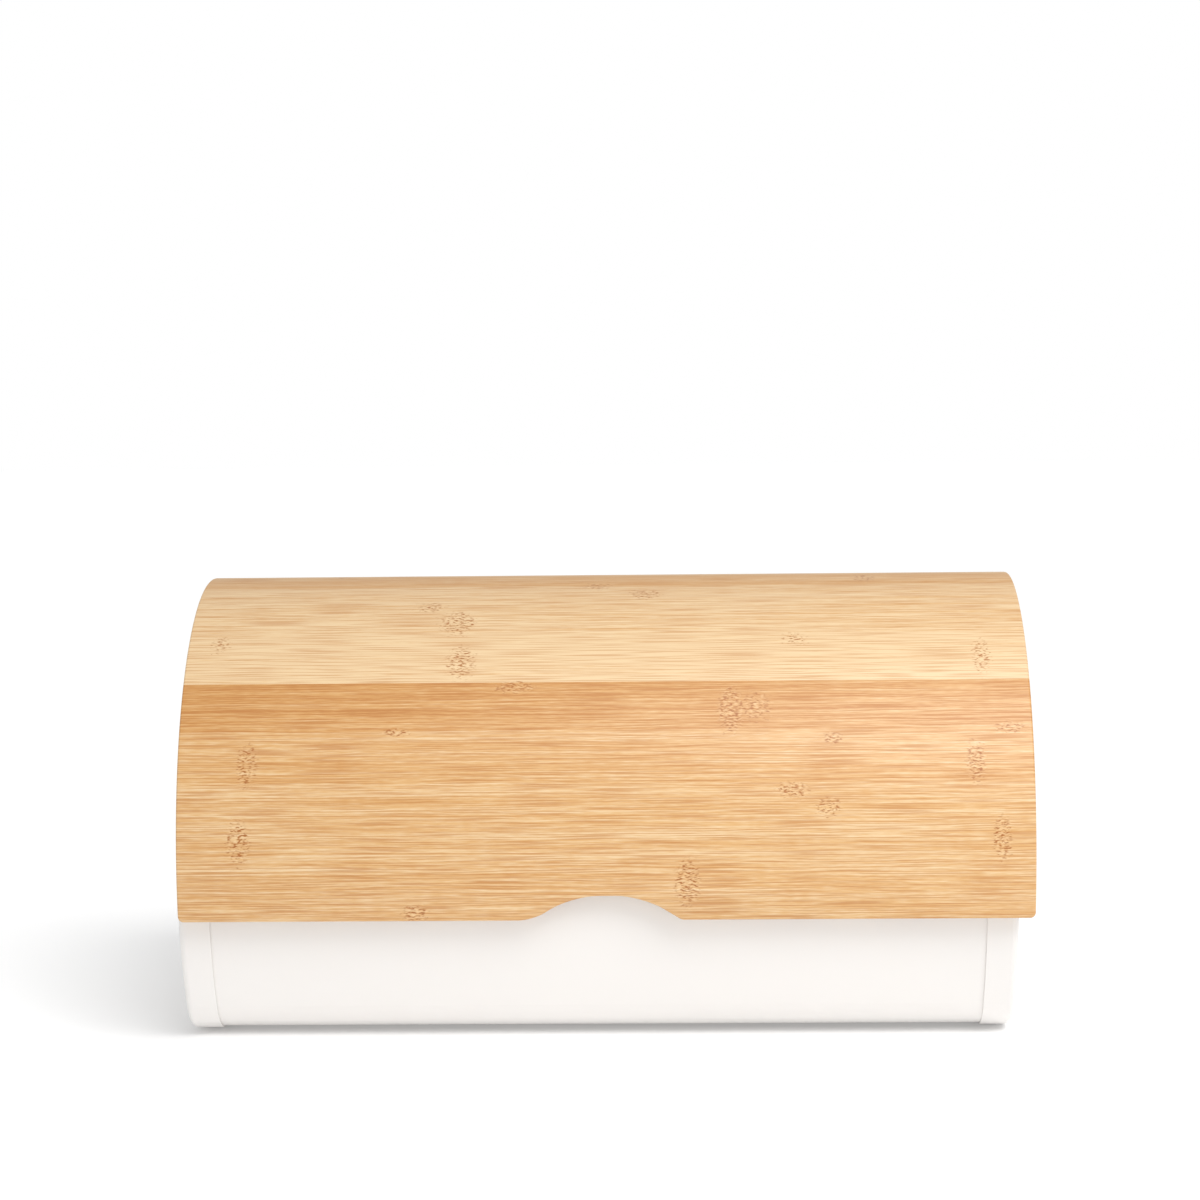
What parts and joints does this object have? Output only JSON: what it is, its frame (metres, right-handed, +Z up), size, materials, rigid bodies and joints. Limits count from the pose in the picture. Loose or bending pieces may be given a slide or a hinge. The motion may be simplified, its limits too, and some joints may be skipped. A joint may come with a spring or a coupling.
{
  "type": "bread box",
  "caption": "Round-topped steel bread box whose curved bamboo lid rolls back over the top about a pivot in the end caps.",
  "frame": {"origin": "on the table, at the middle of the closed box's length and depth", "axes": "+X to the right as seen from the front, along the pivot axis; +Y to the back; +Z up"},
  "size_m": [0.389, 0.2475, 0.205],
  "materials": {
    "painted_steel": "warm white powder coat, satin",
    "painted_rivets": "warm white, satin",
    "foot_rubber": "matte",
    "stop_rubber": "matte, translucent grey",
    "bush_nylon": "natural nylon",
    "screw_steel": "bright nickel plate",
    "arm_steel": "warm white powder coat, satin",
    "bamboo": "sanded and clear lacquered bamboo strips"
  },
  "bodies": {
    "box": {"body_shell": "painted_steel", "end_cap_left": "painted_steel", "end_cap_right": "painted_steel", "cap_rivets_left": "painted_rivets", "cap_rivets_right": "painted_rivets", "foot_front_left": "foot_rubber", "foot_front_right": "foot_rubber", "foot_rear_left": "foot_rubber", "foot_rear_right": "foot_rubber", "pivot_bush_left": "bush_nylon", "pivot_bush_right": "bush_nylon", "pivot_screw_left": "screw_steel", "pivot_screw_right": "screw_steel", "pivot_washer_left": "screw_steel", "pivot_washer_right": "screw_steel", "pivot_nut_left": "screw_steel", "pivot_nut_right": "screw_steel", "stop_pad_front_left": "stop_rubber", "stop_pad_front_right": "stop_rubber", "stop_pad_rear_left": "stop_rubber", "stop_pad_rear_right": "stop_rubber"},
    "lid": {"lid_panel": "bamboo", "lid_arm_left": "arm_steel", "lid_arm_right": "arm_steel", "lid_screws_left": "screw_steel", "lid_screws_right": "screw_steel"}
  },
  "joints": [
    {"name": "lid_roll", "type": "hinge", "parent": "box", "child": "lid", "pos_m": [0, 0.00377, 0.0775], "axis": [-1, 0, 0], "range_deg": [0, 80]}
  ]
}
